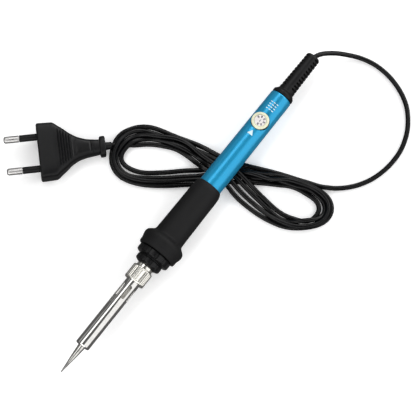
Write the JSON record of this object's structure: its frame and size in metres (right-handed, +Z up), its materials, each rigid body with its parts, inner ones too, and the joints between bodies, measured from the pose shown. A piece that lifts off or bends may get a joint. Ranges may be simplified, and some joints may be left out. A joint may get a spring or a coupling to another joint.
{
  "type": "soldering iron",
  "caption": "Adjustable-temperature pencil soldering iron with a flared soft grip, a temperature dial, a slotted barrel with a long conical tip, and a mains cord and plug.",
  "frame": {"origin": "on the table, under the middle of the iron's length, measured from the point of the tip to the rear end of the strain relief", "axes": "+X along the iron towards the tip, +Y to the iron's left as it is held pointing along +X, +Z up out of the table through the dial"},
  "size_m": [0.2542, 0.1845, 0.0258],
  "materials": {
    "tip_plating": "satin",
    "stainless": "gloss",
    "nickel": "gloss",
    "bakelite": "satin",
    "silicone": "matte",
    "blue_shell": "gloss",
    "dial_cream": "satin",
    "ceramic": null,
    "board": "satin",
    "black_component": "satin",
    "tan_component": "satin",
    "film": "satin",
    "brown_wire": "satin",
    "blue_wire": "satin",
    "white_nylon": "satin",
    "black_pvc": "satin",
    "pin_metal": "gloss"
  },
  "bodies": {
    "handle": {"threaded_spigot": "nickel", "front_collar": "bakelite", "grip_sleeve": "silicone", "handle_shell": "blue_shell", "strain_relief_boot": "black_pvc", "potentiometer_body": "black_component", "circuit_board": "board", "triac": "black_component", "film_capacitor": "film", "gate_resistor": "tan_component", "series_resistor": "tan_component", "diac": "film", "heater_rod": "ceramic", "heater_ring": "ceramic", "heater_lead_left": "white_nylon", "heater_lead_right": "white_nylon", "live_wire": "brown_wire", "neutral_wire": "blue_wire", "cord_sheath_end": "black_pvc", "cord_tie": "white_nylon", "plug_body": "black_pvc", "plug_pin_left": "pin_metal", "plug_pin_right": "pin_metal", "pin_sleeve_left": "black_pvc", "pin_sleeve_right": "black_pvc", "cord_tail": "black_pvc", "cord_hank": "black_pvc"},
    "barrel": {"barrel_tube": "stainless", "tip": "tip_plating"},
    "nut": {"barrel_nut": "nickel"},
    "dial": {"dial_knob": "dial_cream", "dial_shaft": "white_nylon"}
  },
  "joints": [
    {"name": "dial_turn", "type": "hinge", "parent": "handle", "child": "dial", "pos_m": [-0.0644, 0, 0.0194], "axis": [0, 0, -1], "range_deg": [0, 240]},
    {"name": "barrel_slide", "type": "slide", "parent": "handle", "child": "barrel", "axis": [1, 0, 0], "range_m": [0, 0.055]},
    {"name": "nut_turn", "type": "hinge", "parent": "barrel", "child": "nut", "pos_m": [0.047, 0, 0.0129], "axis": [1, 0, 0], "continuous": true}
  ]
}
